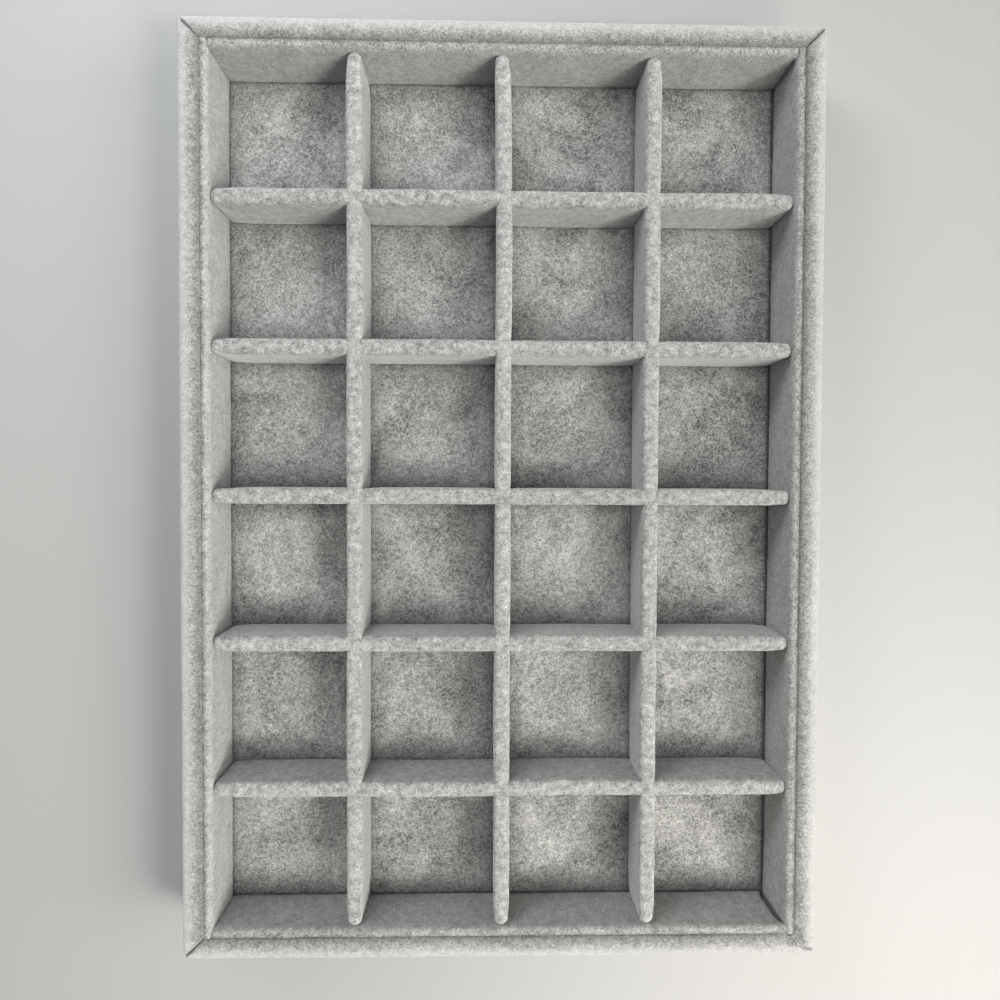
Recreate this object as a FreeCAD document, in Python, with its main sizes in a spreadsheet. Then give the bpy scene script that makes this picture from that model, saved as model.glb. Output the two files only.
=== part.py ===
"""Velvet jewellery tray of 24 square cells, built as its maker builds it.

Boards make the box, one strip of velvet wraps its walls, a card pad in velvet makes the floor,
card strips in velvet line the walls, and slotted dividers, half lapped, make the cells.
Millimetres. The origin is under the middle of the tray, +Z is up, +Y runs along its length.
"""
import FreeCAD, Part
import math
import os

import Sketcher

document = FreeCAD.newDocument("JewelryTray")

# Driving sizes

DRIVING_SIZES = [
    ("tray_length", 350.0, "outside, along Y"),
    ("tray_width", 240.0, "outside, along X"),
    ("tray_height", 30.0, "underside to the top of the rim"),
    ("velvet", 0.9, "thickness of the velvet, pile pressed"),
    ("sheet", 0.6, "thickness of the underside sheet"),
    ("sheet_inset", 4.0, "edge of the underside sheet, in from the outer faces"),
    ("wall_board", 6.0, "thickness of the wall boards"),
    ("outer_ease", 1.4, "chamfer on the outer top edge of a wall board"),
    ("inner_ease", 1.6, "chamfer on the inner top edge of a wall board"),
    ("base_board", 2.5, "thickness of the base board"),
    ("rim_round", 2.4, "radius of the velvet over the outer edge of the rim"),
    ("lip_round", 2.6, "radius of the velvet over the inner edge of the rim"),
    ("corner_round", 1.8, "radius of the velvet at the upright outer corners"),
    ("turn_down", 12.0, "velvet turned down behind the liners, from the rim"),
    ("turn_under", 14.0, "velvet turned under the tray, from the outer faces"),
    ("seam_width", 0.5, "mitre seam in the rim"),
    ("seam_depth", 0.6, "mitre seam in the rim"),
    ("floor_card", 0.8, "thickness of the floor card"),
    ("floor_gap", 0.2, "floor pad to wall board, each side"),
    ("liner_card", 1.2, "thickness of a liner card"),
    ("liner_drop", 0.8, "top of the liners, below the rim"),
    ("liner_gap", 0.2, "liner to the velvet of the wall"),
    ("liner_round", 1.4, "radius of the velvet over the inner edge of a liner"),
    ("liner_back_round", 1.4, "radius of the velvet over the back edge of a liner"),
    ("liner_turn", 10.0, "liner velvet turned down at the back"),
    ("short_cut", 1.6, "how much too short the near liner was cut, at its right end"),
    ("divider_card", 3.0, "thickness of the divider cards"),
    ("divider_velvet", 1.1, "thickness of the velvet on the faces of a divider"),
    ("divider_drop", 2.0, "top of the dividers, below the rim"),
    ("divider_swell", 0.4, "how far the velvet stands off each face midway between crossings"),
    ("crown", 1.4, "velvet over the top edge of a divider card"),
    ("end_gap", 0.1, "end of a liner or divider to the liner face it butts"),
    ("lap_gap", 0.2, "side play of a half lap, each side"),
    ("tip_length", 2.4, "tapered end of a divider"),
    ("tip_width", 3.0, "width of the end of a divider"),
    ("tip_bulge", 0.6, "fullness of the tapered end, over a straight taper"),
    ("tip_drop", 1.2, "fall of the top at the end of a divider"),
    ("tip_velvet", 2.2, "velvet folded over the end of a divider card"),
]

COLUMNS = 4
ROWS = 6

sizes = document.addObject("Spreadsheet::Sheet", "Sizes")
for line, (alias, size, meaning) in enumerate(DRIVING_SIZES, start=1):
    sizes.set(f"A{line}", str(size))
    sizes.setAlias(f"A{line}", alias)
    sizes.set(f"B{line}", meaning)
document.recompute()

# Levels and lengths that follow from the driving sizes, as expressions on the sheet

BOARD_BOTTOM = "(Sizes.sheet + Sizes.velvet)"
BASE_TOP = f"({BOARD_BOTTOM} + Sizes.base_board)"
CARD_TOP = f"({BASE_TOP} + Sizes.floor_card)"
FLOOR = f"({CARD_TOP} + Sizes.velvet)"
BOARD_TOP = "(Sizes.tray_height - Sizes.velvet)"
BOARD_FACE = "(Sizes.velvet + Sizes.wall_board)"
WALL = f"({BOARD_FACE} + Sizes.velvet)"
LINER = "(2 * Sizes.velvet + Sizes.liner_card)"
LINER_BACK = f"({WALL} + Sizes.liner_gap)"
LINER_FACE = f"({LINER_BACK} + {LINER})"
LINER_HEIGHT = f"(Sizes.tray_height - Sizes.liner_drop - {FLOOR})"
INNER_WIDTH = f"(Sizes.tray_width - 2 * {LINER_FACE})"
INNER_LENGTH = f"(Sizes.tray_length - 2 * {LINER_FACE})"
WAIST = "(Sizes.divider_card + 2 * Sizes.divider_velvet)"
FULLEST = f"({WAIST} + 3 * Sizes.divider_swell)"
TAPER_WIDTH = f"({WAIST} + Sizes.divider_swell)"
DIVIDER_HEIGHT = f"(Sizes.tray_height - Sizes.divider_drop - {FLOOR})"
DIVIDER_CARD_HEIGHT = f"({DIVIDER_HEIGHT} - Sizes.crown)"
LAP_HEIGHT = f"({DIVIDER_HEIGHT} / 2)"
LAP_SLOT = f"({WAIST} + 2 * Sizes.lap_gap)"
PITCH_X = f"(({INNER_WIDTH} + {WAIST}) / {COLUMNS})"
PITCH_Y = f"(({INNER_LENGTH} + {WAIST}) / {ROWS})"

# Each side of the tray: its name, the length of that side, where it stands and how far it is turned.
# A side is drawn along X, with its outer face on Y = 0 and the tray on the +Y side.
SIDES = [
    ("near", "Sizes.tray_width", "0", "-Sizes.tray_length / 2", 0),
    ("right", "Sizes.tray_length", "Sizes.tray_width / 2", "0", 90),
    ("far", "Sizes.tray_width", "0", "Sizes.tray_length / 2", 180),
    ("left", "Sizes.tray_length", "-Sizes.tray_width / 2", "0", 270),
]

UP = FreeCAD.Vector(0, 0, 1)


def measure(expression):
    """The present value of an expression on the sheet, in millimetres."""
    return float(sizes.evalExpression(expression))


def add_body(label, x="0", y="0", z="0", turn=0):
    """A sub-part of its own, turned about Z and then moved to its place."""
    body = document.addObject("PartDesign::Body", label)
    body.Label = label
    body.Placement = FreeCAD.Placement(FreeCAD.Vector(0, 0, 0), FreeCAD.Rotation(UP, turn))
    body.setExpression("Placement.Base.x", x)
    body.setExpression("Placement.Base.y", y)
    body.setExpression("Placement.Base.z", z)
    return body


def add_sketch(body, role, name, across="0", up="0", along="0"):
    """A sketch on one of the body's origin planes, shifted within the plane and along its normal."""
    sketch = body.newObject("Sketcher::SketchObject", name)
    plane = next(item for item in body.Origin.OriginFeatures if item.Role == role)
    sketch.AttachmentSupport = [(plane, "")]
    sketch.MapMode = "FlatFace"
    sketch.setExpression("AttachmentOffset.Base.x", across)
    sketch.setExpression("AttachmentOffset.Base.y", up)
    sketch.setExpression("AttachmentOffset.Base.z", along)
    return sketch


def draw_outline(sketch, corners):
    """A closed outline, anticlockwise. Each corner is two expressions; a third one is the radius
    of an arc that bulges outwards from that corner to the next."""
    spots = [FreeCAD.Vector(measure(corner[0]), measure(corner[1]), 0) for corner in corners]
    for number, corner in enumerate(corners):
        start = spots[number]
        end = spots[(number + 1) % len(spots)]
        if len(corner) == 3:
            radius = measure(corner[2])
            chord = end - start
            rise = radius - math.sqrt(max(radius**2 - chord.Length**2 / 4, 0))
            outwards = FreeCAD.Vector(chord.y, -chord.x, 0).normalize()
            edge = sketch.addGeometry(Part.Arc(start, (start + end) * 0.5 + outwards * rise, end), False)
            bound = sketch.addConstraint(Sketcher.Constraint("Radius", edge, radius))
            sketch.setExpression(f"Constraints[{bound}]", corner[2])
        else:
            sketch.addGeometry(Part.LineSegment(start, end), False)
    for number, corner in enumerate(corners):
        following = (number + 1) % len(corners)
        sketch.addConstraint(Sketcher.Constraint("Coincident", number, 2, following, 1))
        for axis, kind in enumerate(("DistanceX", "DistanceY")):
            bound = sketch.addConstraint(Sketcher.Constraint(kind, -1, 1, number, 1, spots[number][axis]))
            sketch.setExpression(f"Constraints[{bound}]", corner[axis])


def draw_rectangle(sketch, width, height, centre=("0", "0")):
    """A rectangle about a centre, given as expressions."""
    left = f"{centre[0]} - {width} / 2"
    right = f"{centre[0]} + {width} / 2"
    low = f"{centre[1]} - {height} / 2"
    high = f"{centre[1]} + {height} / 2"
    draw_outline(sketch, [(left, low), (right, low), (right, high), (left, high)])


def add_pad(body, name, sketch, length, symmetric=False):
    """Stands a sketch up by a length, or half of it each way."""
    pad = body.newObject("PartDesign::Pad", name)
    pad.Profile = sketch
    pad.SideType = "Symmetric" if symmetric else "One side"
    pad.setExpression("Length", length)
    return pad


def add_pocket(body, name, sketch, length, symmetric=False, reversed_way=False):
    """Cuts a sketch away over a length, and makes sure that it cuts something."""
    document.recompute()
    before = body.Shape.Volume
    pocket = body.newObject("PartDesign::Pocket", name)
    pocket.Profile = sketch
    pocket.SideType = "Symmetric" if symmetric else "One side"
    pocket.Reversed = reversed_way
    pocket.setExpression("Length", length)
    document.recompute()
    if body.Shape.Volume >= before:
        raise ValueError(f"{body.Label}: {name} cuts nothing")
    return pocket


def origin_line(body, role):
    """One of the body's own axes, for a pattern to follow."""
    axis = next(item for item in body.Origin.OriginFeatures if item.Role == role)
    return (axis, [""])


def add_row(body, name, feature, pitch, copies):
    """Repeats a feature along X at a pitch."""
    row = body.newObject("PartDesign::LinearPattern", name)
    row.Originals = [feature]
    row.Direction = origin_line(body, "X_Axis")
    row.setExpression("Length", f"{pitch} * {copies - 1}")
    row.Occurrences = copies
    body.Tip = row
    return row


def edges_named(shape, wanted):
    """Names of the edges whose middle passes a test, for a fillet or chamfer."""
    names = []
    for number, edge in enumerate(shape.Edges, start=1):
        middle = edge.valueAt((edge.FirstParameter + edge.LastParameter) / 2)
        if wanted(edge, middle):
            names.append(f"Edge{number}")
    return names


def near(value, expression):
    """True where a measured value is the value of the expression."""
    return abs(value - measure(expression)) < 0.01


def build_base_board():
    """The stiff board between the four walls."""
    body = add_body("base_board", z=BOARD_BOTTOM)
    outline = add_sketch(body, "XY_Plane", "base_outline")
    draw_rectangle(outline, f"(Sizes.tray_width - 2 * {BOARD_FACE})", f"(Sizes.tray_length - 2 * {BOARD_FACE})")
    add_pad(body, "base_thickness", outline, "Sizes.base_board")
    return body


def build_wall_board(side, span, x, y, turn):
    """One wall board, mitred at both ends, its top edges eased for the velvet."""
    body = add_body(f"wall_board_{side}", x, y, BOARD_BOTTOM, turn)
    outline = add_sketch(body, "XY_Plane", "board_plan")
    outer_half = f"({span} / 2 - Sizes.velvet)"
    inner_half = f"({span} / 2 - {BOARD_FACE})"
    draw_outline(outline, [
        (f"-{outer_half}", "Sizes.velvet"),
        (outer_half, "Sizes.velvet"),
        (inner_half, BOARD_FACE),
        (f"-{inner_half}", BOARD_FACE),
    ])
    height = f"({BOARD_TOP} - {BOARD_BOTTOM})"
    blank = add_pad(body, "board_height", outline, height)
    document.recompute()

    def ease(name, base, face, amount):
        """Chamfers the top edge that lies over one face of the board."""
        names = edges_named(base.Shape, lambda edge, middle: near(middle.z, height) and near(middle.y, face))
        chamfer = body.newObject("PartDesign::Chamfer", name)
        chamfer.Base = (base, names)
        chamfer.setExpression("Size", amount)
        document.recompute()
        return chamfer

    eased = ease("outer_edge", blank, "Sizes.velvet", "Sizes.outer_ease")
    ease("inner_edge", eased, BOARD_FACE, "Sizes.inner_ease")
    return body


def build_outer_velvet():
    """The strip of velvet round the walls: out, up, over, down inside, and turned under."""
    body = add_body("outer_velvet")
    way_round = add_sketch(body, "XY_Plane", "way_round")
    half_width = "Sizes.tray_width / 2"
    half_length = "Sizes.tray_length / 2"
    draw_outline(way_round, [
        ("0", f"-{half_length}"),
        (half_width, f"-{half_length}"),
        (half_width, half_length),
        (f"-{half_width}", half_length),
        (f"-{half_width}", f"-{half_length}"),
    ])
    section = add_sketch(body, "YZ_Plane", "velvet_section", across=f"-{half_length}")
    draw_outline(section, [
        ("0", "Sizes.sheet"),
        ("Sizes.turn_under", "Sizes.sheet"),
        ("Sizes.turn_under", BOARD_BOTTOM),
        ("Sizes.velvet", BOARD_BOTTOM),
        ("Sizes.velvet", f"{BOARD_TOP} - Sizes.outer_ease"),
        ("Sizes.velvet + Sizes.outer_ease", BOARD_TOP),
        (f"{BOARD_FACE} - Sizes.inner_ease", BOARD_TOP),
        (BOARD_FACE, f"{BOARD_TOP} - Sizes.inner_ease"),
        (BOARD_FACE, "Sizes.tray_height - Sizes.turn_down"),
        (WALL, "Sizes.tray_height - Sizes.turn_down"),
        (WALL, "Sizes.tray_height - Sizes.lip_round", "Sizes.lip_round"),
        (f"{WALL} - Sizes.lip_round", "Sizes.tray_height"),
        ("Sizes.rim_round", "Sizes.tray_height", "Sizes.rim_round"),
        ("0", "Sizes.tray_height - Sizes.rim_round"),
    ])
    strip = body.newObject("PartDesign::AdditivePipe", "strip")
    strip.Profile = section
    strip.Spine = way_round
    strip.Transition = "Right corner"
    document.recompute()
    upright = edges_named(strip.Shape, lambda edge, middle: (
        near(abs(middle.x), half_width) and near(abs(middle.y), half_length)
        and edge.BoundBox.ZLength > measure("Sizes.tray_height / 2")))
    corners = body.newObject("PartDesign::Fillet", "soft_corners")
    corners.Base = (strip, upright)
    corners.setExpression("Radius", "Sizes.corner_round")
    document.recompute()
    for name, across, along in (("far_left", -1, 1), ("far_right", 1, 1), ("near_left", -1, -1)):
        add_mitre_seam(body, name, across, along)
    return body


def add_mitre_seam(body, name, across, along):
    """A mitre seam cut into the top of the rim, from the outer corner to the inner one."""
    seam = add_sketch(body, "XY_Plane", f"seam_{name}", along="Sizes.tray_height")
    half = "Sizes.seam_width / 2"
    corner = (f"{across} * Sizes.tray_width / 2", f"{along} * Sizes.tray_length / 2")
    inner = (f"({corner[0]} - {across} * {WALL})", f"({corner[1]} - {along} * {WALL})")
    outer = (f"({corner[0]})", f"({corner[1]})")
    turn = across * along
    corners = [
        (f"{outer[0]} + {half}", f"{outer[1]} - {turn} * {half}"),
        (f"{outer[0]} - {half}", f"{outer[1]} + {turn} * {half}"),
        (f"{inner[0]} - {half}", f"{inner[1]} + {turn} * {half}"),
        (f"{inner[0]} + {half}", f"{inner[1]} - {turn} * {half}"),
    ]
    draw_outline(seam, corners)
    add_pocket(body, f"mitre_{name}", seam, "Sizes.seam_depth")


def build_underside_sheet():
    """The plain sheet glued under the tray: its border lies on the turned-under velvet,
    and its middle is pressed up against the base board."""
    body = add_body("underside_sheet")
    whole = add_sketch(body, "XY_Plane", "sheet_outline")
    draw_rectangle(whole, "(Sizes.tray_width - 2 * Sizes.sheet_inset)", "(Sizes.tray_length - 2 * Sizes.sheet_inset)")
    add_pad(body, "sheet_border", whole, "Sizes.sheet")
    raised = add_sketch(body, "XY_Plane", "raised_outline", along="Sizes.sheet")
    draw_rectangle(raised, "(Sizes.tray_width - 2 * Sizes.turn_under)", "(Sizes.tray_length - 2 * Sizes.turn_under)")
    add_pad(body, "sheet_middle", raised, "Sizes.velvet")
    hollow = add_sketch(body, "XY_Plane", "hollow_outline")
    edge = "(Sizes.turn_under + Sizes.sheet)"
    draw_rectangle(hollow, f"(Sizes.tray_width - 2 * {edge})", f"(Sizes.tray_length - 2 * {edge})")
    add_pocket(body, "sheet_hollow", hollow, "Sizes.velvet", reversed_way=True)
    return body


def build_floor():
    """The floor pad, a card and the velvet on it, let in between the wall boards."""
    width = f"(Sizes.tray_width - 2 * {BOARD_FACE} - 2 * Sizes.floor_gap)"
    length = f"(Sizes.tray_length - 2 * {BOARD_FACE} - 2 * Sizes.floor_gap)"
    made = []
    for label, level, thickness in (
        ("floor_card", BASE_TOP, "Sizes.floor_card"),
        ("floor_velvet", CARD_TOP, "Sizes.velvet"),
    ):
        body = add_body(label, z=level)
        outline = add_sketch(body, "XY_Plane", f"{label}_outline")
        draw_rectangle(outline, width, length)
        add_pad(body, f"{label}_thickness", outline, thickness)
        made.append(body)
    return made


def build_liner(side, span, x, y, turn):
    """One liner: a card strip and the velvet over its face and top, turned down at the back.
    The two long liners run from wall to wall, and the short ones butt between them. The near one
    was cut short, and leaves a gap at its right end."""
    if side in ("left", "right"):
        length = f"({span} - 2 * {LINER_BACK})"
    else:
        length = f"({span} - 2 * {LINER_FACE} - 2 * Sizes.end_gap)"
    if side == "near":
        length = f"({length} - Sizes.short_cut)"
        x = "-Sizes.short_cut / 2"
    card = add_body(f"liner_card_{side}", x, y, FLOOR, turn)
    section = add_sketch(card, "YZ_Plane", "card_section")
    back = f"({LINER_BACK} + Sizes.velvet)"
    face = f"({LINER_FACE} - Sizes.velvet)"
    top = f"({LINER_HEIGHT} - Sizes.velvet)"
    draw_outline(section, [(back, "0"), (face, "0"), (face, top), (back, top)])
    add_pad(card, "card_length", section, length, symmetric=True)
    velvet = add_body(f"liner_velvet_{side}", x, y, FLOOR, turn)
    section = add_sketch(velvet, "YZ_Plane", "velvet_section")
    draw_outline(section, [
        (face, "0"),
        (LINER_FACE, "0"),
        (LINER_FACE, f"{LINER_HEIGHT} - Sizes.liner_round", "Sizes.liner_round"),
        (f"{LINER_FACE} - Sizes.liner_round", LINER_HEIGHT),
        (f"{LINER_BACK} + Sizes.liner_back_round", LINER_HEIGHT, "Sizes.liner_back_round"),
        (LINER_BACK, f"{LINER_HEIGHT} - Sizes.liner_back_round"),
        (LINER_BACK, f"{LINER_HEIGHT} - Sizes.liner_turn"),
        (back, f"{LINER_HEIGHT} - Sizes.liner_turn"),
        (back, top),
        (face, top),
    ])
    add_pad(velvet, "velvet_length", section, length, symmetric=True)
    return [card, velvet]


def add_divider_section(body, name, width, along, height=DIVIDER_HEIGHT):
    """A divider's velvet cut across: flat below, straight sides and a full round top."""
    section = add_sketch(body, "YZ_Plane", name, along=along)
    half = f"({width} / 2)"
    draw_outline(section, [
        (f"-{half}", "0"),
        (half, "0"),
        (half, f"{height} - {half}", half),
        ("0", height, half),
        (f"-{half}", f"{height} - {half}"),
    ])
    return section


def add_loft(body, name, sections):
    """A loft through sections of one kind, straight from each to the next."""
    loft = body.newObject("PartDesign::AdditiveLoft", name)
    loft.Profile = sections[0]
    loft.Sections = sections[1:]
    loft.Ruled = True
    document.recompute()
    return loft


def add_bay(body, name, start, finish, finish_width):
    """The velvet from one crossing to the next, or to where the end starts to taper: nipped to the
    card at the start, fullest midway, and as wide as asked at the finish."""
    middle = f"(({start} + {finish}) / 2)"
    fullest = f"(({WAIST} + {finish_width}) / 2 + 2 * Sizes.divider_swell)"
    return add_loft(body, name, [
        add_divider_section(body, f"{name}_start", WAIST, start),
        add_divider_section(body, f"{name}_middle", fullest, middle),
        add_divider_section(body, f"{name}_finish", finish_width, finish),
    ])


def build_divider_velvet(label, place, pitch, cells, length, slots_from_above):
    """The velvet of one divider. It is nipped to the card at each crossing, swells between them,
    tapers to a finger tip at both ends, and is open below, where the card goes in."""
    x, y, turn = place
    body = add_body(label, x, y, FLOOR, turn)
    start = f"(-{pitch} * {(cells - 2) / 2})"
    bay = add_bay(body, "bay", start, f"({start} + {pitch})", WAIST)
    add_row(body, "bays", bay, pitch, cells - 2)
    last = f"({pitch} * {(cells - 2) / 2})"
    end = f"({length} / 2)"
    taper = f"({end} - Sizes.tip_length)"
    end_bay = add_bay(body, "end_bay", last, taper, TAPER_WIDTH)
    tip = add_loft(body, "tip", [
        add_divider_section(body, "tip_start", TAPER_WIDTH, taper),
        add_divider_section(
            body, "tip_middle", f"(({TAPER_WIDTH} + Sizes.tip_width) / 2 + Sizes.tip_bulge)",
            f"({end} - Sizes.tip_length / 3)", f"({DIVIDER_HEIGHT} - Sizes.tip_drop / 4)"),
        add_divider_section(body, "tip_end", "Sizes.tip_width", end, f"({DIVIDER_HEIGHT} - Sizes.tip_drop)"),
    ])
    other_end = body.newObject("PartDesign::Mirrored", "other_end")
    other_end.Originals = [end_bay, tip]
    plane = next(item for item in body.Origin.OriginFeatures if item.Role == "YZ_Plane")
    other_end.MirrorPlane = (plane, [""])
    body.Tip = other_end
    card_room = add_sketch(body, "XY_Plane", "card_room")
    draw_rectangle(card_room, f"({length} - 2 * Sizes.tip_velvet)", "Sizes.divider_card")
    add_pocket(body, "card_slot", card_room, DIVIDER_CARD_HEIGHT, reversed_way=True)
    add_lap_slots(body, pitch, cells, FULLEST, slots_from_above)
    return body


def build_divider_card(label, place, pitch, cells, length, slots_from_above):
    """The card of one divider, with its half-lap slots."""
    x, y, turn = place
    body = add_body(label, x, y, FLOOR, turn)
    plan = add_sketch(body, "XY_Plane", "card_plan")
    draw_rectangle(plan, f"({length} - 2 * Sizes.tip_velvet)", "Sizes.divider_card")
    add_pad(body, "card_height", plan, DIVIDER_CARD_HEIGHT)
    add_lap_slots(body, pitch, cells, FULLEST, slots_from_above)
    return body


def add_lap_slots(body, pitch, cells, thickness, from_above):
    """Half-lap slots at every crossing, from the lap level up or down through the divider."""
    first = f"(-{pitch} * {(cells - 2) / 2})"
    slot = add_sketch(body, "XZ_Plane", "lap_slot")
    if from_above:
        middle = f"({LAP_HEIGHT} + {DIVIDER_HEIGHT} / 2)"
    else:
        middle = f"({LAP_HEIGHT} - {DIVIDER_HEIGHT} / 2)"
    draw_rectangle(slot, LAP_SLOT, DIVIDER_HEIGHT, (first, middle))
    cut = add_pocket(body, "first_slot", slot, f"(2 * {thickness})", symmetric=True)
    add_row(body, "slots", cut, pitch, cells - 1)


def build_dividers():
    """Three dividers along the tray, slotted from below, and five across it, slotted from above."""
    made = []
    long_length = f"({INNER_LENGTH} - 2 * Sizes.end_gap)"
    cross_length = f"({INNER_WIDTH} - 2 * Sizes.end_gap)"
    for number in range(1, COLUMNS):
        place = (f"{PITCH_X} * {number - COLUMNS / 2}", "0", 90)
        described = (place, PITCH_Y, ROWS, long_length, False)
        made.append(build_divider_card(f"long_divider_card_{number}", *described))
        made.append(build_divider_velvet(f"long_divider_velvet_{number}", *described))
    for number in range(1, ROWS):
        place = ("0", f"{PITCH_Y} * {ROWS / 2 - number}", 0)
        described = (place, PITCH_X, COLUMNS, cross_length, True)
        made.append(build_divider_card(f"cross_divider_card_{number}", *described))
        made.append(build_divider_velvet(f"cross_divider_velvet_{number}", *described))
    return made


def write_parts(bodies):
    """Writes each sub-part once nothing in the document has failed."""
    document.recompute()
    for item in document.Objects:
        if "Invalid" in item.State or "Error" in item.State:
            raise ValueError(f"{item.Label} ({item.Name}) is {item.State}")
    for body in bodies:
        shape = body.Shape
        if shape.isNull() or not shape.isValid() or len(shape.Solids) != 1:
            raise ValueError(f"{body.Label} isn't one valid solid")
    os.makedirs("parts", exist_ok=True)
    for body in bodies:
        body.Shape.exportStep(f"parts/{body.Label}.step")
        print(f"{body.Label}: {body.Shape.Volume / 1000:.2f} cm3")


tray = [build_base_board()]
tray += [build_wall_board(*side) for side in SIDES]
tray.append(build_outer_velvet())
tray.append(build_underside_sheet())
tray += build_floor()
for side in SIDES:
    tray += build_liner(*side)
tray += build_dividers()
write_parts(tray)
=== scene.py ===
# A velvet jewellery tray of 24 cells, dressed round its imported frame. Metres, +Z up, +Y along the tray.
import math

import bmesh
import bpy
from mathutils import Matrix, Vector, noise


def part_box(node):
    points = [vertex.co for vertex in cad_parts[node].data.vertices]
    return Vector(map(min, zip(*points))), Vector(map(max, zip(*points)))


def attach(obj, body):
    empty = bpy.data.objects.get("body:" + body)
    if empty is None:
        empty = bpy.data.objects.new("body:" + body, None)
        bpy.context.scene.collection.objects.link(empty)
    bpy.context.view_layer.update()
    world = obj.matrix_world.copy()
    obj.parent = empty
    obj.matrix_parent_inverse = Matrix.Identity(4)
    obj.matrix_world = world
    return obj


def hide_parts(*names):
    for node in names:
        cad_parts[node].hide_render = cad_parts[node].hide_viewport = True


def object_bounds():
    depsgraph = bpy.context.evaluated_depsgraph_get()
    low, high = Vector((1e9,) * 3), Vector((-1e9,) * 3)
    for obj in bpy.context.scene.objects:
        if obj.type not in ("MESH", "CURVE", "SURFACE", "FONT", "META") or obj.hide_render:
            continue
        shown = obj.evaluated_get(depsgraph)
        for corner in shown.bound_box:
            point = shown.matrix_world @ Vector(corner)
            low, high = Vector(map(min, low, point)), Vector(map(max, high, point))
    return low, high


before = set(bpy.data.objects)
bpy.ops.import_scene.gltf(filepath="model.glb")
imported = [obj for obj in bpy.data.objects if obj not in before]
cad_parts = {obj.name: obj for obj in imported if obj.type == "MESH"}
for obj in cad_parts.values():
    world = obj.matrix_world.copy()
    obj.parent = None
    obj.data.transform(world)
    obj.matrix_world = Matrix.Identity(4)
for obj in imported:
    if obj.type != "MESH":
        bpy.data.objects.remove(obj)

cad_low, cad_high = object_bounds()


# The box under the velvet: a base board let in between four mitred wall boards, glued.
# Raw medium density fibreboard, fine and even; the finish leaves out the darker burnish along the saw cuts.

class Signal:
    """A socket of a material's node tree. Sums, differences and products of signals add Math nodes."""

    def __init__(self, tree, socket=None):
        self.tree = tree
        self.socket = socket

    def node(self, kind, settings=None, sockets=None, output=None):
        """Adds a node, sets it up, feeds its sockets with values or signals and gives one of its outputs."""
        made = self.tree.nodes.new(kind)
        for name, value in (settings or {}).items():
            if name == "stops":
                ramp = made.color_ramp.elements
                while len(ramp) < len(value):
                    ramp.new(1.0)
                for stop, (place, shade) in zip(ramp, value):
                    stop.position = place
                    stop.color = (*shade, 1.0)
            else:
                setattr(made, name, value)
        entries = {entry.identifier: entry for entry in made.inputs}
        for name, value in (sockets or {}).items():
            if isinstance(value, Signal):
                self.tree.links.new(value.socket, entries[name])
            else:
                entries[name].default_value = value
        exits = {way_out.identifier: way_out for way_out in made.outputs}
        return Signal(self.tree, exits[output] if output else made.outputs[0])

    def feed(self, shader, name):
        """Links this signal to one of a shader's sockets."""
        self.tree.links.new(self.socket, shader.inputs[name])

    def maths(self, operation, first, second):
        return self.node("ShaderNodeMath", {"operation": operation}, {"Value": first, "Value_001": second})

    def __add__(self, other):
        return self.maths("ADD", self, other)

    __radd__ = __add__

    def __sub__(self, other):
        return self.maths("SUBTRACT", self, other)

    def __rsub__(self, other):
        return self.maths("SUBTRACT", other, self)

    def __mul__(self, other):
        return self.maths("MULTIPLY", self, other)

    __rmul__ = __mul__

    def __abs__(self):
        return self.maths("ABSOLUTE", self, 0.0)

    def stretched(self, way):
        """A place, scaled along each axis."""
        sockets = {"Vector": self, "Vector_001": way}
        return self.node("ShaderNodeVectorMath", {"operation": "MULTIPLY"}, sockets)

    def grain(self, size, detail=2.0, roughness=0.6, distortion=0.0):
        """Noise from 0 to 1 over this place, with grains of a size in metres."""
        sockets = {"Vector": self, "Scale": 1 / size, "Detail": detail, "Roughness": roughness, "Distortion": distortion}
        return self.node("ShaderNodeTexNoise", {}, sockets)

    def upward(self):
        """How far a direction points up or down, from 0 to 1."""
        return abs(self.node("ShaderNodeSeparateXYZ", {}, {"Vector": self}, "Z"))

    def between(self, dark, light):
        """A colour between two, by this signal."""
        sockets = {"Factor_Float": self, "A_Color": (*dark, 1.0), "B_Color": (*light, 1.0)}
        return self.node("ShaderNodeMix", {"data_type": "RGBA"}, sockets, "Result_Color")

    def relief(self, depth, strength=1.0):
        """A normal that makes this signal a height, of a depth in metres."""
        return self.node("ShaderNodeBump", {}, {"Height": self, "Distance": depth, "Strength": strength})


def open_finish(name, roughness):
    """A new material, a blank signal to draw its nodes with, its shader, and the place on the object."""
    material = bpy.data.materials.new(name)
    material.use_nodes = True
    shader = material.node_tree.nodes["Principled BSDF"]
    shader.inputs["Roughness"].default_value = roughness
    pen = Signal(material.node_tree)
    place = pen.node("ShaderNodeTexCoord", {}, {}, "Object")
    return material, shader, place


def shade_of(colour, share):
    """A colour made darker or lighter."""
    return tuple(channel * share for channel in colour)


def make_board_finish(name, colour, fibre, contrast):
    """Pressed fibres: short pale and dark flecks lying flat in the sheet."""
    material, shader, place = open_finish(name, 0.82)
    flecks = place.stretched((1.0, 0.45, 1.0)).grain(fibre, 3.0, 0.65)
    clouds = place.grain(30 * fibre, 2.0, 0.5)
    mixed = flecks * 0.7 + clouds * 0.3
    mixed.between(shade_of(colour, 1 - contrast), shade_of(colour, 1 + contrast)).feed(shader, "Base Color")
    flecks.relief(0.00006).feed(shader, "Normal")
    return material


fibreboard = make_board_finish("raw_fibreboard", (0.38, 0.26, 0.16), 0.0006, 0.30)
wall_names = ("near", "right", "far", "left")
for board_name in ["base_board"] + [f"wall_board_{side}" for side in wall_names]:
    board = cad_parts[board_name]
    board.data.materials.clear()
    board.data.materials.append(fibreboard)


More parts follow.
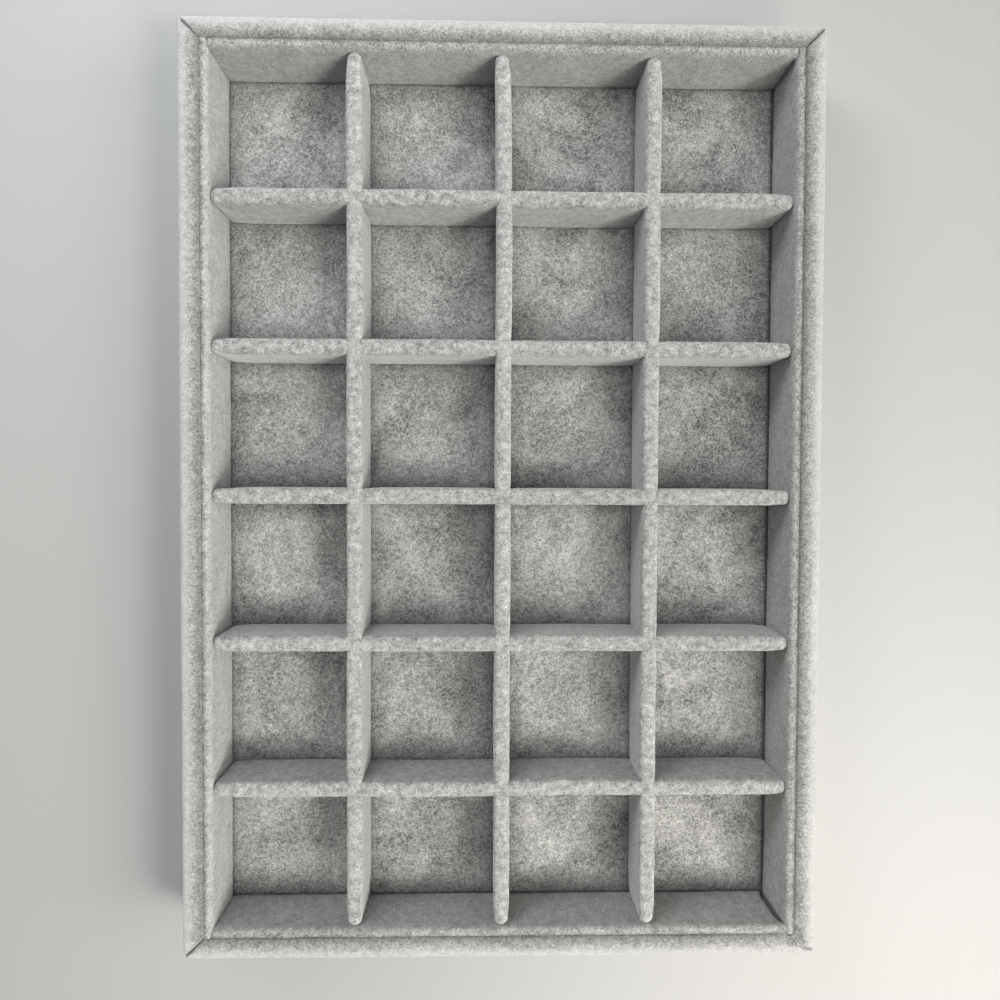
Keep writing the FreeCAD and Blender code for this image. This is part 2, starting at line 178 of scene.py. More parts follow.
# The outer velvet: one strip of short-pile velvet glued round the walls. It comes from under the
# tray, up the outside, over the rim and down behind the liners, mitred at three corners of the rim
# and folded under itself at the fourth, where it was pulled tight last.

MM = 0.001
tray_half = Vector(((cad_high.x - cad_low.x) / 2, (cad_high.y - cad_low.y) / 2))
rim_top = cad_high.z
velvet_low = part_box("outer_velvet")[0]
board_low, board_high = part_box("wall_board_near")
velvet_thick = rim_top - board_high.z
velvet_bottom = velvet_low.z

# Each side of the tray: the half length of that side, where it stands and how far it is turned.
SIDES = {
    "near": (tray_half.x, (0.0, -tray_half.y), 0),
    "right": (tray_half.y, (tray_half.x, 0.0), 90),
    "far": (tray_half.x, (0.0, tray_half.y), 180),
    "left": (tray_half.y, (-tray_half.x, 0.0), 270),
}


class Section:
    """The line that a cloth follows when it is wrapped, seen end on: straight runs and round turns.
    A step is a length and 0 for a run, and a radius and an angle in degrees for a turn."""

    def __init__(self, across, up, heading, steps):
        self.start = Vector((across, up))
        self.heading = math.radians(heading)
        self.steps = [(reach, math.radians(turn)) for reach, turn in steps]

    def lengths(self):
        """How much cloth each step takes."""
        return [reach * abs(turn) if turn else reach for reach, turn in self.steps]

    def marks(self, parts):
        """Distances across the cloth that share each step into equal parts."""
        marks = [0.0]
        for length, count in zip(self.lengths(), parts):
            marks += [marks[-1] + length * (part + 1) / count for part in range(count)]
        return marks

    def at(self, way):
        """The place, across and up, at a distance along the cloth."""
        spot = self.start.copy()
        heading = self.heading
        for (reach, turn), length in zip(self.steps, self.lengths()):
            share = min(max(way / length, 0.0), 1.0)
            if turn:
                side = math.copysign(1.0, turn)
                after = heading + turn * share
                spot += reach * side * Vector((math.sin(after) - math.sin(heading),
                                               math.cos(heading) - math.cos(after)))
                heading = after
            else:
                spot += reach * share * Vector((math.cos(heading), math.sin(heading)))
            way -= length
            if way <= 0:
                break
        return spot


def over_the_top(width, first_round, last_round, side, slope=20.0):
    """Three turns over the top of a card: a round shoulder, a slow crown and a round shoulder."""
    lean = math.sin(math.radians(slope))
    crown = (width - (1 - lean) * (first_round + last_round)) / (2 * lean)
    return [(first_round, side * (90 - slope)), (crown, side * 2 * slope), (last_round, side * (90 - slope))]


def rise_of(turns):
    """How far the crown of those three turns stands above the end of the first side."""
    (first_round, shoulder), (crown, arch), _ = turns
    lean = math.radians(abs(arch) / 2)
    return first_round * math.cos(lean) + crown * (1 - math.cos(lean))


def rule(stops):
    """Marks along a cloth. A stop is a distance and the spacing of the marks up to the next stop."""
    marks = [stops[0][0]]
    for (start, spacing), (end, _) in zip(stops, stops[1:]):
        count = max(1, round((end - start) / spacing))
        marks += [start + (end - start) * (part + 1) / count for part in range(count)]
    return marks


def cut_cloth(length_marks, width_marks):
    """A flat cloth with a row of points at each mark along X and across Y. Its UV map is the flat cloth."""
    cloth = bmesh.new()
    columns = len(length_marks) - 1
    rows = len(width_marks) - 1
    bmesh.ops.create_grid(cloth, x_segments=columns, y_segments=rows, size=1.0)
    for point in cloth.verts:
        column = round((point.co.x + 1) / 2 * columns)
        row = round((point.co.y + 1) / 2 * rows)
        point.co = (length_marks[column], width_marks[row], 0.0)
    flat = cloth.loops.layers.uv.new("flat_cloth")
    for face in cloth.faces:
        for loop in face.loops:
            loop[flat].uv = loop.vert.co.xy
    return cloth


def ripple(place, wave, seed=0.0):
    """Smooth noise from -1 to 1 with waves of a length, the same on every run."""
    return noise.noise(place / wave + Vector((seed, 1.7 * seed, -0.6 * seed)))


def raise_pile(cloth, clump_depth, wave_depth, seed):
    """Lets the pile stand uneven: small clumps, and longer waves where the glue took or didn't."""
    cloth.normal_update()
    for point in cloth.verts:
        lift = clump_depth * ripple(point.co, 2.4 * MM, seed) + wave_depth * ripple(point.co, 17 * MM, seed + 5)
        point.co += point.normal * lift


def finish_cloth(cloth, name, finish, nodes, thickness):
    """Makes a wrapped cloth a piece of its own, smooth, with its back and edges, in place of CAD nodes."""
    mesh = bpy.data.meshes.new(name)
    cloth.to_mesh(mesh)
    cloth.free()
    for polygon in mesh.polygons:
        polygon.use_smooth = True
    mesh.materials.append(finish)
    piece = bpy.data.objects.new(name, mesh)
    bpy.context.scene.collection.objects.link(piece)
    if thickness:
        back = piece.modifiers.new("back_of_cloth", "SOLIDIFY")
        back.thickness = thickness
        back.offset = -1.0
        back.use_even_offset = True
    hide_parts(*nodes)
    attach(piece, "root")
    return piece


def make_velvet(name, colour, nub, clump, streak, nap, curl=0.0, sheen=0.5):
    """Short dense pile. Nubs show where one looks into it, faint streaks where it stands on an upright
    face, soft patches where the nap was brushed over, and on the floor the fibres curl. Painted shade
    darkens the cloth in creases, grooves and at feet, and a painted highlight pales it round some edges."""
    material, shader, place = open_finish(name, 0.93)
    shader.inputs["Specular IOR Level"].default_value = 0.12
    shader.inputs["Diffuse Roughness"].default_value = 0.9
    shader.inputs["Sheen Weight"].default_value = sheen
    shader.inputs["Sheen Roughness"].default_value = 0.30
    shader.inputs["Sheen Tint"].default_value = (0.95, 0.96, 0.98, 1.0)
    facing = Signal(material.node_tree).node("ShaderNodeTexCoord", {}, {}, "Normal").upward()
    tufts = place.grain(0.85 * MM, 1.5, 0.6)
    fine = place.grain(0.45 * MM, 1.0, 0.5)
    lines = place.stretched((1.0, 1.0, 0.25)).grain(0.9 * MM, 1.0, 0.5)
    clumps = place.grain(2.5 * MM, 1.0, 0.5)
    brushed = place.grain(19 * MM, 2.0, 0.5, 0.8)
    seen_into = 0.62 + 0.38 * facing
    specks = nub * (tufts - 0.5) + 1.1 * nub * (fine - 0.5) + clump * (clumps - 0.5)
    tone = 0.5 + seen_into * specks
    tone = tone + streak * (lines - 0.5) + nap * (brushed - 0.5)
    height = tufts + 0.4 * fine
    if curl:
        worm = 1.0 - abs(place.grain(1.5 * MM, 0.5, 0.5, 1.0) - 0.5) * 8.0
        worm = worm.maths("MAXIMUM", worm, 0.0)
        tone = tone + curl * (worm - 0.38)
        height = 0.5 * height + worm * 0.7
    # Painted light: the shading attribute darkens the tone with painted shade where it is above 0, and pales it with a
    # painted highlight where it is below 0.
    crease = Signal(material.node_tree).node("ShaderNodeAttribute", {"attribute_name": "crease"}, {}, "Fac")
    painted_highlight = 0.0 - crease
    painted_highlight = painted_highlight.maths("MAXIMUM", painted_highlight, 0.0)
    tone = tone * (1.0 - 0.85 * (crease + painted_highlight) * (1.3 - 0.6 * tufts))
    tone = tone + painted_highlight * (0.95 - tone)
    tone.between(shade_of(colour, 0.12), shade_of(colour, 1.88)).feed(shader, "Base Color")
    height.relief(0.32 * MM, 0.8).feed(shader, "Normal")
    return material


rim_velvet = make_velvet("rim_velvet", (0.46, 0.46, 0.452), nub=0.76, clump=0.42, streak=0.08, nap=0.26, sheen=1.0)

turned_under = 14 * MM
turned_down = 12 * MM
rim_round = 2.4 * MM
lip_round = 1.1 * MM
bottom_round = 1.0 * MM
pile_bulge = 0.2 * MM
rim_width = board_high.y - board_low.y + 2 * velvet_thick + pile_bulge
rim_turns = over_the_top(rim_width, rim_round, lip_round, -1)
rim_section = Section(turned_under, velvet_bottom, 180, [
    (turned_under - bottom_round, 0),
    (bottom_round, -90),
    (rim_top - velvet_bottom - bottom_round - rim_round, 0),
    *rim_turns,
    (turned_down - lip_round, 0),
])
rim_marks = rim_section.marks([3, 2, 10, 6, 10, 5, 2])
corner_round = 2.5 * MM


def round_corner(spot, radius):
    """Rounds the tray's four outer corners, seen from above: square rings of cloth become round ones."""
    beyond = Vector((abs(spot.x) - tray_half.x + radius, abs(spot.y) - tray_half.y + radius))
    if beyond.x > 0 and beyond.y > 0:
        pull = max(beyond) / beyond.length
        spot.x = math.copysign(tray_half.x - radius + beyond.x * pull, spot.x)
        spot.y = math.copysign(tray_half.y - radius + beyond.y * pull, spot.y)


def bell(distance, width):
    """1 at a line, falling smoothly to nothing a width or two away."""
    return math.exp(-(distance / width) ** 2)


def smooth_step(share):
    """0 to 1, easing in and out."""
    share = min(max(share, 0.0), 1.0)
    return share * share * (3 - 2 * share)


def paint_rim_light(spot):
    """Painted sheen highlight, below 0, round the outer edge, and painted shade where the cloth turns down into the
    groove, less of it near the folded corner.
    """
    inset = min(tray_half.x - abs(spot.x), tray_half.y - abs(spot.y))
    near_top = smooth_step((spot.z - rim_top + 9 * MM) / (8 * MM))
    to_fold = math.hypot(spot.x - tray_half.x + rim_width, spot.y + tray_half.y - rim_width)
    into_groove = smooth_step((inset - rim_width + 3.2 * MM) / (3.0 * MM)) * (1 - 0.7 * bell(to_fold, 9 * MM))
    outer = 1 - smooth_step((inset - 2.2 * MM) / (3.4 * MM))
    return 0.42 * into_groove - 0.44 * near_top * outer


def sink_mitre(spot, across, along):
    """Draws the velvet down into the mitre seam of one corner of the rim. Gives the strength of the painted shade
    along the seam.
    """
    inset = Vector((tray_half.x - across * spot.x, tray_half.y - along * spot.y))
    if max(inset) > 12 * MM or spot.z < rim_top - 6 * MM:
        return 0.0
    off_seam = (inset.x - inset.y) / math.sqrt(2)
    on_rim = smooth_step((min(inset) - 0.7 * MM) / (1.2 * MM))
    spot.z -= (0.55 * MM * bell(off_seam, 0.45 * MM) + 0.25 * MM * bell(off_seam, 1.5 * MM)) * on_rim
    return bell(off_seam, 0.35 * MM) * on_rim


def crease_fold(spot):
    """The folded corner: creases fan out from the inner corner, and one fold runs on to the outside.
    Gives the strength of the painted shade in the creases and along the fold."""
    inner = Vector((tray_half.x - rim_width, -tray_half.y + rim_width))
    arm = spot.xy - inner
    if spot.z < rim_top - 4 * MM or arm.length > 12 * MM:
        return 0.0
    angle = math.atan2(arm.y, arm.x)
    fan = (0.5 + 0.5 * math.cos(13 * angle + 0.8)) ** 2.0 * bell(arm.length - 1.9 * MM, 1.4 * MM)
    spot.z -= 0.6 * MM * fan
    fold_way = Vector((math.cos(math.radians(-22)), math.sin(math.radians(-22))))
    off_fold = arm.x * fold_way.y - arm.y * fold_way.x
    outside = min(max((arm.dot(fold_way) - 2.5 * MM) / (1.5 * MM), 0.0), 1.0)
    fold = outside * bell(off_fold - 3.0 * MM, 0.5 * MM)
    spot.z -= 0.35 * MM * fold - 0.15 * MM * outside * bell(off_fold - 2.0 * MM, 0.8 * MM)
    return min(1.1 * fan, 1.0) + 0.35 * fold


strip = bmesh.new()
for half, stand, turn in SIDES.values():
    near_corner = 3 * MM
    side_marks = rule([
        (-half, 0.3 * MM), (-half + near_corner, 0.45 * MM), (-half + 4 * near_corner, 1.15 * MM),
        (half - 4 * near_corner, 0.45 * MM), (half - near_corner, 0.3 * MM), (half, 1.0)])
    cloth = cut_cloth(side_marks, rim_marks)
    for point in cloth.verts:
        across, up = rim_section.at(point.co.y)
        point.co = (point.co.x * (half - across) / half, across, up)
    bmesh.ops.transform(cloth, matrix=Matrix.Translation((*stand, 0)) @ Matrix.Rotation(math.radians(turn), 4, "Z"),
                        verts=cloth.verts)
    side_mesh = bpy.data.meshes.new("side")
    cloth.to_mesh(side_mesh)
    cloth.free()
    strip.from_mesh(side_mesh)
    bpy.data.meshes.remove(side_mesh)
bmesh.ops.remove_doubles(strip, verts=strip.verts, dist=0.001 * MM)
crease = strip.verts.layers.float.new("crease")
# Painted shade in the mitre seams, the folded creases and the groove, and a painted sheen highlight round the outer
# edge, all kept on the strip.
for point in strip.verts:
    shade = paint_rim_light(point.co)
    depths = [sink_mitre(point.co, *corner) for corner in ((-1, 1), (1, 1), (-1, -1))]
    depth = max(depths + [crease_fold(point.co)])
    point[crease] = depth if depth > 0.02 and shade < depth else shade * (1 - depth)
    round_corner(point.co, corner_round)
bmesh.ops.recalc_face_normals(strip, faces=strip.faces)
raise_pile(strip, 0.16 * MM, 0.12 * MM, 3.0)
outer_velvet = finish_cloth(strip, "outer_velvet_strip", rim_velvet, ["outer_velvet"], velvet_thick)


# The underside: a thin charcoal backing cloth, glued over the turned-under velvet and the base board.
# It is a non-woven, its fibres pressed together in all directions.

def make_backing_finish():
    """Matted fibres, crossing every way, with a faint mottle."""
    material, shader, place = open_finish("backing_cloth", 0.88)
    threads = place.grain(0.9 * MM, 3.0, 0.7, 1.5)
    mottle = place.grain(7 * MM, 2.0, 0.5)
    mixed = 0.65 * threads + 0.35 * mottle
    mixed.between((0.028, 0.028, 0.031), (0.066, 0.066, 0.070)).feed(shader, "Base Color")
    threads.relief(0.12 * MM).feed(shader, "Normal")
    return material


sheet_low, sheet_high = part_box("underside_sheet")
sheet_thick = velvet_bottom
step_up = sheet_high.z - sheet_thick
middle_half = tray_half - Vector((turned_under, turned_under))
sheet_marks = []
for half, edge in ((sheet_high.x, middle_half.x), (sheet_high.y, middle_half.y)):
    sheet_marks.append(rule([(-half, 2.5 * MM), (-edge - 1 * MM, 0.5 * MM), (-edge + 1 * MM, 4.5 * MM),
                             (edge - 1 * MM, 0.5 * MM), (edge + 1 * MM, 2.5 * MM), (half, 1.0)]))
cloth = cut_cloth(*sheet_marks)
for point in cloth.verts:
    inside = min(middle_half.x - abs(point.co.x), middle_half.y - abs(point.co.y))
    raised = min(max(0.5 + inside / (2 * MM), 0.0), 1.0)
    wave = 0.12 * MM * ripple(point.co, 30 * MM, 2.0) * (raised == 1.0)
    point.co.z = step_up * raised * raised * (3 - 2 * raised) + wave
bmesh.ops.reverse_faces(cloth, faces=cloth.faces)
backing = finish_cloth(cloth, "underside_backing", make_backing_finish(),
                       ["underside_sheet"], sheet_thick)


# The floor: one card covered in longer velvet and let in between the walls, with painted shade at the feet and
# edges of its cells. The dividers and liners stand on it and press its pile flat, so each cell's floor is a faint
# pillow.

grey_card = make_board_finish("grey_card", (0.34, 0.32, 0.29), 0.0009, 0.22)
card_names = [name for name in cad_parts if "_card" in name]
for card_name in card_names:
    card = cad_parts[card_name]
    card.data.materials.clear()
    card.data.materials.append(grey_card)

floor_velvet_finish = make_velvet("floor_velvet", (0.49, 0.49, 0.478), nub=0.42, clump=0.25, streak=0.0, nap=0.72,
                                  curl=0.38, sheen=0.30)
floor_low, floor_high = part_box("floor_velvet")
liner_faces = Vector((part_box("liner_velvet_right")[0].x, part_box("liner_velvet_far")[0].y))
long_dividers = [sum(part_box(f"long_divider_card_{number}"), Vector()).x / 2 for number in (1, 2, 3)]
cross_dividers = [sum(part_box(f"cross_divider_card_{number}"), Vector()).y / 2 for number in (1, 2, 3, 4, 5)]
divider_half = 2.7 * MM


def foot_lines(face, middles):
    """Where feet of liners and dividers stand on the floor along one axis, from low to high."""
    lines = [-face]
    for middle in sorted(middles):
        lines += [middle - divider_half, middle + divider_half]
    return lines + [face]


floor_lines = [foot_lines(liner_faces.x, long_dividers), foot_lines(liner_faces.y, cross_dividers)]
floor_marks = []
for lines, edge in zip(floor_lines, (floor_high.x, floor_high.y)):
    stops = [(-edge, 2.0 * MM)]
    for start, end in zip(lines[::2], lines[1::2]):
        stops += [(start, 0.5 * MM), (start + 2.5 * MM, 2.0 * MM), (end - 2.5 * MM, 0.5 * MM), (end, 1.6 * MM)]
    floor_marks.append(rule(stops + [(edge, 1.0)]))


def inside_cell(place, lines):
    """How far a place is inside the cell that it lies in along one axis, or 0 under a foot."""
    return max(max(min(place - start, end - place) for start, end in zip(lines[::2], lines[1::2])), 0.0)


cloth = cut_cloth(*floor_marks)
crease = cloth.verts.layers.float.new("crease")
bmesh.ops.translate(cloth, vec=(0, 0, floor_low.z), verts=cloth.verts)
pile = bmesh.ops.extrude_face_region(cloth, geom=cloth.faces)["geom"]
pile_points = [item for item in pile if isinstance(item, bmesh.types.BMVert)]
pressed = 0.5 * MM
for point in pile_points:
    inside = min(inside_cell(point.co.x, floor_lines[0]), inside_cell(point.co.y, floor_lines[1]))
    stands = 1 - math.exp(-(inside / (0.8 * MM)) ** 1.5)
    lift = 0.12 * MM * ripple(point.co, 2.3 * MM, 9.0) + 0.15 * MM * ripple(point.co, 14 * MM, 4.0)
    # Painted shade: dark lines at every foot, darkest along the right and near liners, a broad band along the near
    # side of every cell, and a soft darkening towards all cell edges.
    open_foot = min(liner_faces.x - point.co.x, liner_faces.y + point.co.y)
    foot_shade = max(0.55 * bell(inside, 0.7 * MM), 0.95 * bell(open_foot, 1.3 * MM))
    near_foot = min([abs(point.co.y - start) for start in floor_lines[1][2::2]])
    foot_shade = max(foot_shade, 0.58 * bell(near_foot, 6.5 * MM), 0.70 * bell(liner_faces.y + point.co.y, 6 * MM))
    point[crease] = max(foot_shade, 0.34 * bell(inside, 6.5 * MM))
    point.co.z = floor_high.z - pressed + stands * (pressed + lift)
bmesh.ops.recalc_face_normals(cloth, faces=cloth.faces)
floor_velvet = finish_cloth(cloth, "floor_velvet_sheet", floor_velvet_finish, ["floor_velvet"], 0)


# The liners: four strips of card in velvet that stand against the walls and hide the edge of the
# outer velvet. The velvet covers the face and the top and is turned down at the back. The near one
# was cut short, so a gap stays open at its right end.

liner_finish = make_velvet("liner_velvet", (0.46, 0.46, 0.452), nub=0.82, clump=0.55, streak=0.12, nap=0.16, sheen=0.8)
liner_round = 1.8 * MM
liner_back_round = 0.5 * MM
liner_turn = 10 * MM
foot_tuck = 0.5 * MM
foot_reach = 0.9 * MM
short_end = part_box("liner_velvet_far")[1].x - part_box("liner_velvet_near")[1].x


for side, (half, stand, turn) in SIDES.items():
    card_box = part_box(f"liner_card_{side}")
    velvet_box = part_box(f"liner_velvet_{side}")
    long_way = 1 if side in ("left", "right") else 0
    liner_ends = (velvet_box[0][long_way], velvet_box[1][long_way])
    depths = [tray_half[1 - long_way] - abs(box_corner[1 - long_way]) for box_corner in velvet_box]
    face, back = max(depths), min(depths)
    low, high = floor_high.z - pressed, velvet_box[1].z
    turns = over_the_top(face - back, liner_round, liner_back_round, 1)
    section = Section(face, low, 90, [
        (high - low - rise_of(turns), 0),
        *turns,
        (liner_turn - liner_back_round, 0),
    ])
    width_marks = section.marks([14, 4, 3, 4, 3])
    length_marks = rule([(liner_ends[0], 0.6 * MM), (liner_ends[0] + 4 * MM, 1.15 * MM),
                         (liner_ends[1] - 4 * MM, 0.6 * MM), (liner_ends[1], 1.0)])
    cloth = cut_cloth(length_marks, width_marks)
    crease = cloth.verts.layers.float.new("crease")
    for point in cloth.verts:
        place, way, _ = point.co
        across, up = section.at(way)
        # Painted shade on the back of the top, where it turns into the groove, and on the upright face, and a painted
        # highlight along the front edge of the top.
        point[crease] = 0.42 * smooth_step((back + 2.0 * MM - across) / (2.0 * MM))
        point[crease] += 0.18 * smooth_step((high - 1.6 * MM - up) / (1.5 * MM))
        point[crease] -= 0.22 * bell(face - across - 0.8 * MM, 0.9 * MM)
        across -= foot_tuck * math.exp(-(way / foot_reach) ** 1.5)
        if side == "near":
            upper = smooth_step((up - high + 5 * MM) / (5 * MM))
            flare = short_end * (upper + 0.6 * bell(up - low, 3 * MM)) - 0.5 * MM * (1 - upper)
            place += flare * bell(liner_ends[1] - place, 2.5 * MM)
            # Painted shade in the gap at the short end.
            point[crease] = max(point[crease], 0.95 * (1 - upper) * bell(liner_ends[1] - point.co.x, 0.7 * MM))
        if side == "far":
            # Painted shade where the far liner's end meets the right liner.
            shut = bell(liner_faces.x + place, 0.9 * MM) * smooth_step((high - 1.5 * MM - up) / (2 * MM))
            point[crease] = max(point[crease], 0.85 * shut)
        if side == "right":
            # Painted shade in the gap behind the near liner's short end, and a painted shadow wedge at the far end
            # that widens upwards.
            in_gap = smooth_step((0.3 * MM - place - liner_faces.y) / (0.8 * MM))
            below_top = smooth_step((high - 2 * MM - up) / (2 * MM))
            wedge = bell(liner_faces.y - place, 0.8 * MM + 1.8 * MM * (up - low) / (high - low))
            point[crease] = max(point[crease], 0.95 * in_gap * below_top, 0.98 * wedge * below_top)
        point.co = (place, across, up)
    bmesh.ops.transform(cloth, matrix=Matrix.Translation((*stand, 0)) @ Matrix.Rotation(math.radians(turn), 4, "Z"),
                        verts=cloth.verts)
    bmesh.ops.reverse_faces(cloth, faces=cloth.faces)
    raise_pile(cloth, 0.12 * MM, 0.10 * MM, 11.0 + turn)
    liner = finish_cloth(cloth, f"liner_velvet_strip_{side}", liner_finish,
                         [f"liner_velvet_{side}"], velvet_thick)


# The dividers: cards slotted half way and pushed together, three along the tray and five across it.
# Each was wrapped in velvet first, so the cloth is nipped at every crossing, swells a little
# between them, and closes to a finger tip at each end.

divider_finish = make_velvet("divider_velvet", (0.46, 0.46, 0.452), nub=0.78, clump=0.74, streak=0.12, nap=0.16, sheen=1.0)
waist = 5.3 * MM
swell = 0.7 * MM
swell_run = 7 * MM
divider_round = 1.6 * MM
tip_reach = 2.0 * MM
tip_width = 5.1 * MM
tip_run = 9 * MM
divider_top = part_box("long_divider_velvet_1")[1].z
lap_level = (divider_top + floor_high.z) / 2
divider_low = floor_high.z - pressed


def divider_width(place, half_length, crossings):
    """How wide a divider is at a place along it."""
    nearest = min(abs(place - crossing) for crossing in crossings)
    width = waist + swell * smooth_step(nearest / swell_run)
    from_end = max(half_length - abs(place), 0.0)
    width -= (width - tip_width) * (1 - smooth_step((from_end - tip_reach) / (tip_run - tip_reach)))
    if from_end < tip_reach:
        width *= (1 - (1 - from_end / tip_reach) ** 2.6) ** (1 / 2.6)
    return max(width, 0.12 * MM)


def wrap_divider(cloth, half_length, crossings, pitch, flat_width, bow, dip, painted_top_highlight, lean, tip_lean):
    """Lays a slotted cloth over its card: up one side, round the top and down the other."""
    crease = cloth.verts.layers.float["crease"]
    for point in cloth.verts:
        place, way = point.co.xy
        from_end = max(half_length - abs(place), 0.0)
        width = divider_width(place, half_length, crossings)
        nearest = min(abs(place - crossing) for crossing in crossings)
        top = divider_top - 1.1 * MM * bell(from_end, 1.8 * MM) - dip * bell(nearest, 2.5 * MM)
        at_crossing = bell(nearest, 2.8 * MM)
        shoulder = min(divider_round, width / 2) * (1 - 0.65 * at_crossing)
        turns = over_the_top(width, shoulder, shoulder, -1, 20 - 14 * at_crossing)
        side_run = top - divider_low - rise_of(turns)
        section = Section(-width / 2, divider_low, 90, [(side_run, 0), *turns, (side_run, 0)])
        across, up = section.at(way / flat_width * sum(section.lengths()))
        from_foot = max(min(way, flat_width - way), 0.0)
        across *= 1 - 0.16 * math.exp(-(from_foot / foot_reach) ** 1.5)
        phase = (place - crossings[0]) / pitch
        bay = math.floor(phase)
        across += bow * math.sin(math.pi * (phase - bay)) * ripple(Vector((bay, bow * 1e4, 0.5)), 1.0) * 2
        standing = (up - divider_low) / (divider_top - divider_low)
        across += (lean + tip_lean[place > 0] * bell(from_end, 14 * MM)) * standing
        on_top = smooth_step((up - top + 2.4 * MM) / (2.2 * MM))
        # Painted shade at the foot and on the sides, and a painted highlight on the top.
        point[crease] = max(0.5 * bell(from_foot, 0.8 * MM), 0.18 * (1 - on_top)) - painted_top_highlight * on_top
        point.co = (place, across, up)


def make_divider(kind, number, middle, crossings, half_length, pitch, lean=0.0, tip_lean=(0.0, 0.0)):
    """Cuts, slots and wraps the velvet of one divider. Those along the tray are slotted from below."""
    from_below = kind == "long"
    slot_half = 2.3 * MM if from_below else 0.6 * MM
    dip = 0.0 if from_below else 0.14 * MM
    stops = [(-half_length, 0.3 * MM), (-half_length + tip_reach, 1.0 * MM)]
    for crossing in sorted(crossings):
        stops += [(crossing - slot_half, 0.9 * MM), (crossing + slot_half, 1.2 * MM)]
    stops += [(half_length - tip_reach, 0.3 * MM), (half_length, 1.0)]
    side_run = divider_top - divider_low - divider_round
    flat_width = 2 * side_run + waist + 1.1 * divider_round
    lap = lap_level - divider_low
    side_stops = [(0.0, 0.6 * MM), (1.8 * MM, 1.8 * MM), (lap, 1.8 * MM), (side_run, 0.75 * MM)]
    side_stops += [(flat_width - side_run, 1.8 * MM), (flat_width - lap, 1.8 * MM)]
    side_stops += [(flat_width - 1.8 * MM, 0.6 * MM), (flat_width, 1.0)]
    cloth = cut_cloth(rule(stops), rule(side_stops))
    cloth.verts.layers.float.new("crease")
    slotted = []
    for piece in cloth.faces:
        place, way, _ = piece.calc_center_median()
        at_crossing = any(abs(place - crossing) < slot_half for crossing in crossings)
        below = min(way, flat_width - way) < lap
        if at_crossing and below == from_below:
            slotted.append(piece)
    bmesh.ops.delete(cloth, geom=slotted, context="FACES")
    bow = 0.16 * MM * (1 + 0.2 * number)
    # Painted highlight on the tops, stronger on the long dividers.
    painted_top_highlight = 0.11 if from_below else 0.05
    wrap_divider(cloth, half_length, sorted(crossings), pitch, flat_width, bow, dip, painted_top_highlight, lean, tip_lean)
    if from_below:
        turn = Matrix.Translation((middle, 0, 0)) @ Matrix.Rotation(math.radians(90), 4, "Z")
    else:
        turn = Matrix.Translation((0, middle, 0))
    bmesh.ops.transform(cloth, matrix=turn, verts=cloth.verts)
    raise_pile(cloth, 0.12 * MM, 0.06 * MM, 20.0 + number + 10 * from_below)
    node = f"{kind}_divider_velvet_{number}"
    piece = finish_cloth(cloth, f"{kind}_divider_cloth_{number}", divider_finish,
                         [node], velvet_thick)


long_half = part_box("long_divider_velvet_1")[1].y
cross_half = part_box("cross_divider_velvet_1")[1].x
pitch_along = abs(cross_dividers[0] - cross_dividers[1])
pitch_across = abs(long_dividers[1] - long_dividers[0])
tip_leans = {2: (0.0, 1.0 * MM)}
leans = {3: -0.3 * MM, 4: -0.5 * MM, 5: -0.4 * MM}
for number, middle in enumerate(long_dividers, start=1):
    make_divider("long", number, middle, cross_dividers, long_half, pitch_along,
                 tip_lean=tip_leans.get(number, (0.0, 0.0)))
for number, middle in enumerate(cross_dividers, start=1):
    make_divider("cross", number, middle, long_dividers, cross_half, pitch_across, lean=leans.get(number, 0.0))


# The stand: a plain pale floor that keeps the tray's shadow. Past arm's length it fades into an even
# pale backdrop, which only the camera sees.

BACKDROP = (0.60, 0.60, 0.595, 1.0)
floor_finish, floor_shader, floor_place = open_finish("pale_floor", 0.9)
floor_grain = floor_place.grain(0.4, 2.0, 0.5)
floor_grain.between((0.53, 0.53, 0.525), (0.56, 0.56, 0.555)).feed(floor_shader, "Base Color")
fade_start = 0.35
fade_run = 1.0
reach = floor_place.node("ShaderNodeVectorMath", {"operation": "LENGTH"}, {"Vector": floor_place}, "Value")
faded = (reach - fade_start) * (1 / fade_run)
faded = faded.maths("MAXIMUM", faded, 0.0)
faded = faded.maths("MINIMUM", faded, 1.0)
seen = floor_place.node("ShaderNodeLightPath", {}, {}, "Is Camera Ray")
glow = floor_place.node("ShaderNodeEmission", {}, {"Color": BACKDROP})
plain = Signal(floor_finish.node_tree, floor_shader.outputs["BSDF"])
shown = floor_place.node("ShaderNodeMixShader", {}, {"Fac": faded * seen, "Shader": plain, "Shader_001": glow})
floor_finish.node_tree.links.new(shown.socket, floor_finish.node_tree.nodes["Material Output"].inputs["Surface"])
floor_form = bmesh.new()
bmesh.ops.create_grid(floor_form, x_segments=4, y_segments=4, size=3.0)
floor_mesh = bpy.data.meshes.new("pale_floor")
floor_form.to_mesh(floor_mesh)
floor_form.free()
floor_mesh.materials.append(floor_finish)
pale_floor = bpy.data.objects.new("pale_floor", floor_mesh)
bpy.context.scene.collection.objects.link(pale_floor)


# The light: a soft box overhead, a wide one low on the right, a warm one close at the lower right and
# a cool one close at the upper left, with a dim pale room round them.

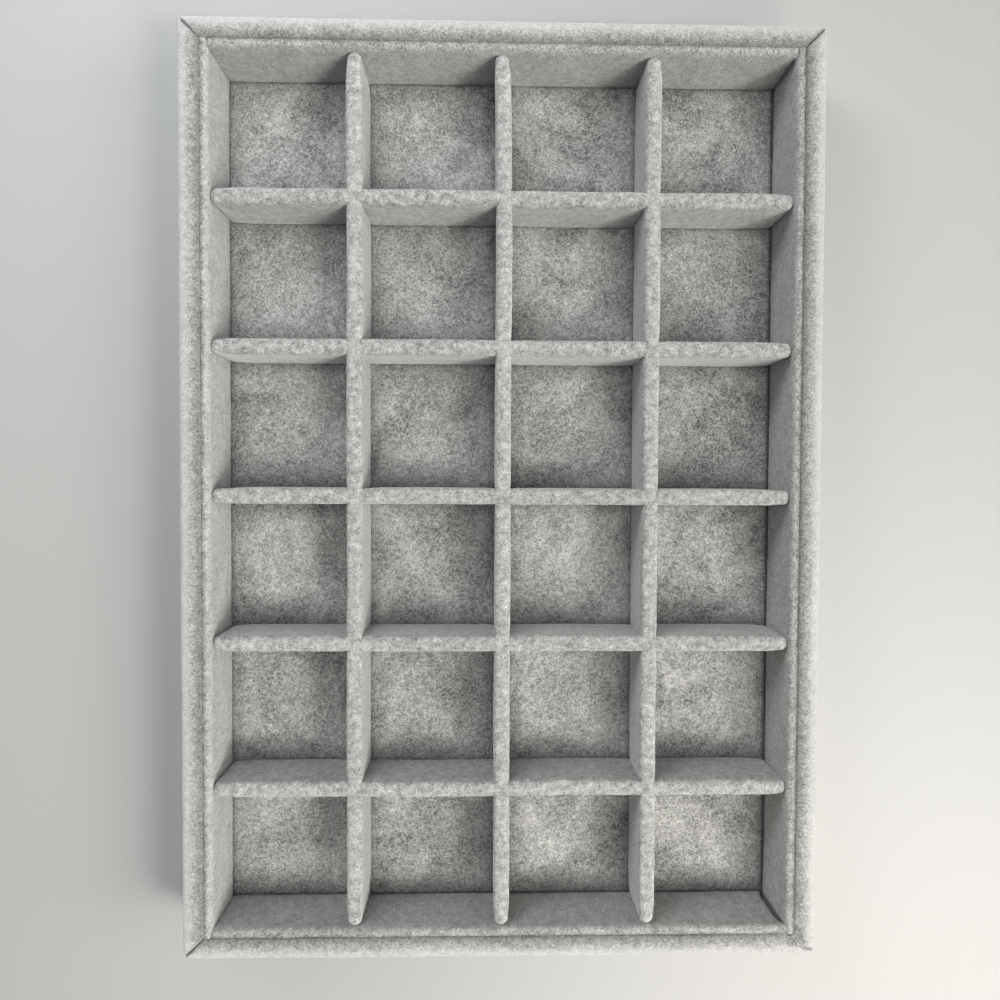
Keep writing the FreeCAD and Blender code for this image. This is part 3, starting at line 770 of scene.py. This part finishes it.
def hang_lamp(name, place, width, watts, colour):
    """A soft square lamp that faces the middle of the tray."""
    light = bpy.data.lights.new(name, "AREA")
    light.shape = "SQUARE"
    light.size = width
    light.energy = watts
    light.color = colour
    lamp = bpy.data.objects.new(name, light)
    lamp.location = place
    lamp.rotation_euler = (-Vector(place)).to_track_quat("-Z", "Y").to_euler()
    bpy.context.scene.collection.objects.link(lamp)


hang_lamp("overhead_box", (0.0, 0.0, 2.0), 1.0, 11.0, (0.97, 1.0, 0.97))
hang_lamp("key_box", (1.15, -0.75, 1.45), 0.5, 12.0, (1.0, 1.0, 0.96))
hang_lamp("side_box", (1.80, 0.0, 0.85), 1.0, 13.0, (0.98, 1.0, 0.93))
hang_lamp("warm_box", (0.22, -0.26, 0.29), 0.2, 0.9, (1.0, 0.93, 0.86))
hang_lamp("cool_box", (-0.14, 0.30, 0.23), 0.15, 0.38, (0.90, 0.95, 1.0))
hang_lamp("cool_window", (-1.28, 1.28, 0.85), 1.0, 8.2, (1.0, 0.985, 0.95))

world = bpy.data.worlds.new("room")
world.use_nodes = True
room = world.node_tree.nodes["Background"]
pen = Signal(world.node_tree)
seen = pen.node("ShaderNodeLightPath", {}, {}, "Is Camera Ray")
reflected = pen.node("ShaderNodeLightPath", {}, {}, "Is Glossy Ray")
passed = pen.node("ShaderNodeLightPath", {}, {}, "Is Transmission Ray")
shown = seen.maths("MAXIMUM", seen, reflected.maths("MAXIMUM", reflected, passed))
dim_room = tuple(0.12 * channel for channel in (0.97, 0.98, 1.0))
shown.between(dim_room, BACKDROP[:3]).feed(room, "Color")
bpy.context.scene.world = world
bpy.context.scene.view_settings.view_transform = "Standard"


# The camera: held by hand just above the middle of the tray, almost straight down.

camera_data = bpy.data.cameras.new("camera")
camera_data.sensor_width = 36.0
camera_data.lens = 36.0 * 699.0 / 1000
camera_data.clip_start = 0.01
camera = bpy.data.objects.new("camera", camera_data)
camera_place = Vector((-6.307, 4.818, 290.15)) * MM
tilt = Matrix.Rotation(-0.0043, 3, "Z") @ Matrix.Rotation(0.0240, 3, "X") @ Matrix.Rotation(0.0198, 3, "Y")
camera.matrix_world = Matrix.Translation(camera_place) @ tilt.transposed().to_4x4()
bpy.context.scene.collection.objects.link(camera)
bpy.context.scene.camera = camera
